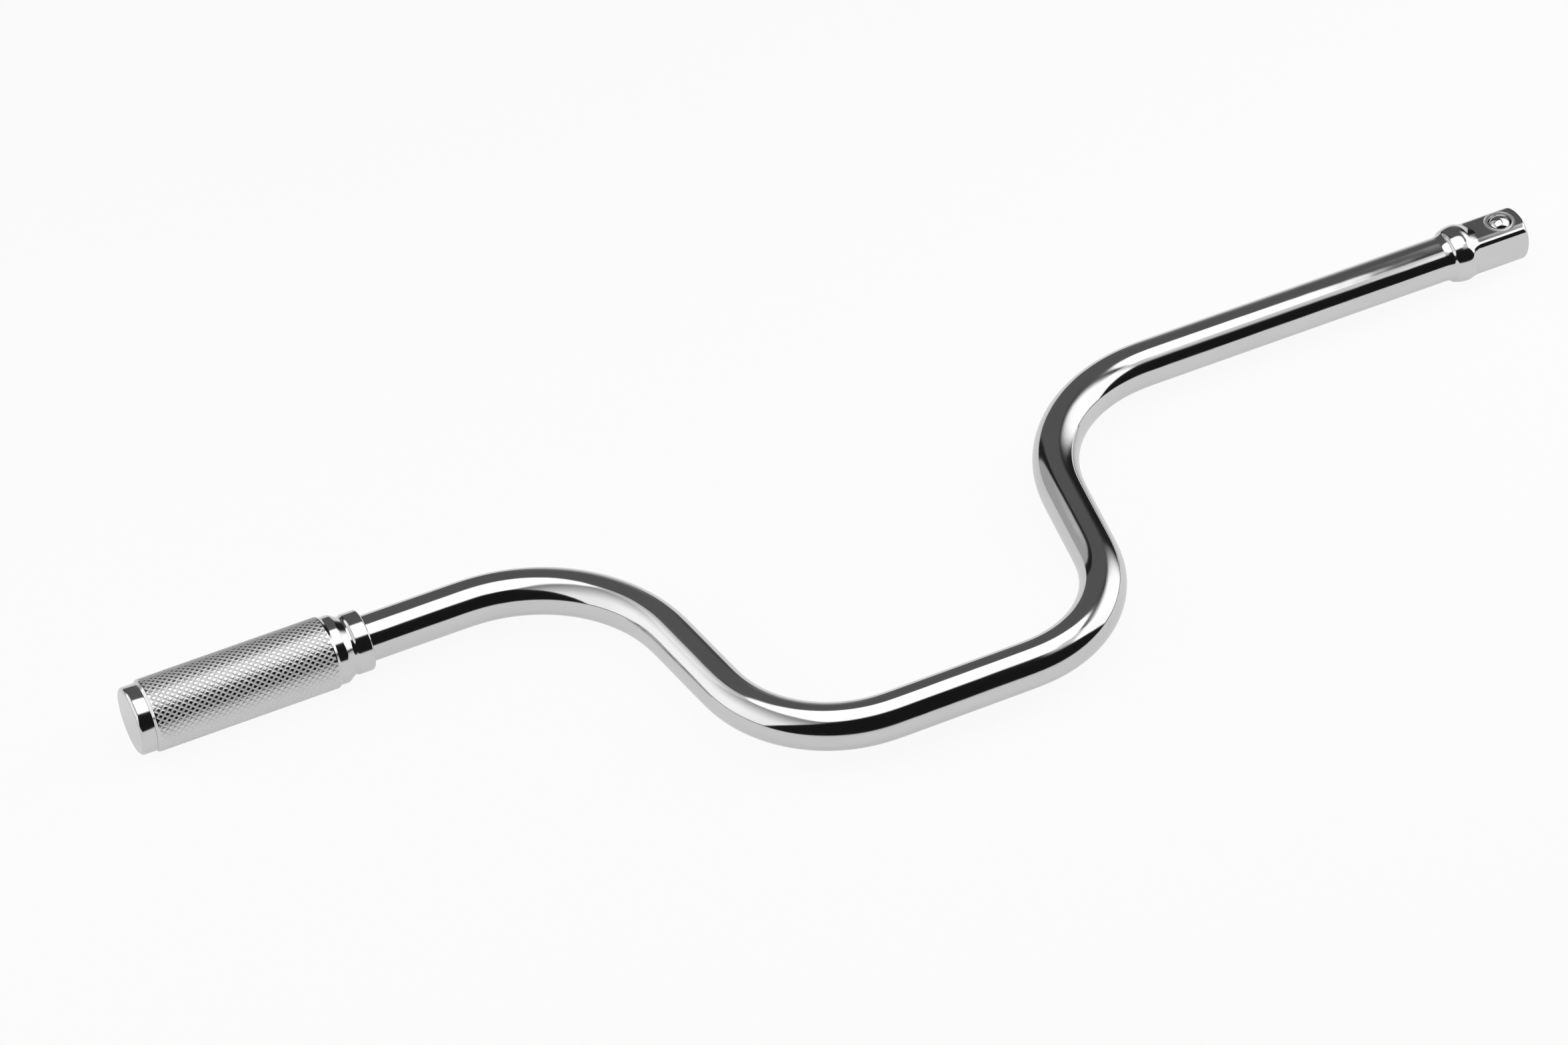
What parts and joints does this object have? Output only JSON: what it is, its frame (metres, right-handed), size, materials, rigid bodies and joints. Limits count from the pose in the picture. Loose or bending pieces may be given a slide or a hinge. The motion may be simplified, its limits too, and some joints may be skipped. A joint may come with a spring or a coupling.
{
  "type": "speeder handle",
  "caption": "Chromed speed brace: a bar bent into a crank, with a free-turning knurled grip and a half-inch male square drive that has a spring ball.",
  "frame": {"origin": "centre of the square drive's end face, on the tool's axis", "axes": "+X along the tool's axis out of the drive tip, -Y towards the crank's throw, +Z out of the flat with the ball"},
  "size_m": [0.44, 0.1147, 0.021],
  "materials": {
    "bar_chrome": "mirror chrome plate",
    "grip_chrome": "chrome plate over diamond knurl",
    "ball_steel": "polished hardened steel",
    "spring_steel": "oiled spring steel",
    "washer_steel": "plain hardened steel"
  },
  "bodies": {
    "bar": {"crank_bar": "bar_chrome", "retaining_ring": "spring_steel", "thrust_washer": "washer_steel", "detent_spring": "spring_steel"},
    "grip": {"grip_sleeve": "grip_chrome", "end_cap": "grip_chrome"},
    "ball": {"detent_ball": "ball_steel"}
  },
  "joints": [
    {"name": "grip_spin", "type": "hinge", "parent": "bar", "child": "grip", "pos_m": [-0.4, 0, 0], "axis": [1, 0, 0], "continuous": true},
    {"name": "ball_press", "type": "slide", "parent": "bar", "child": "ball", "axis": [0, 0, -1], "range_m": [0, 0.0014], "stiffness_N_per_m": 4000, "deforming": ["detent_spring"]}
  ]
}
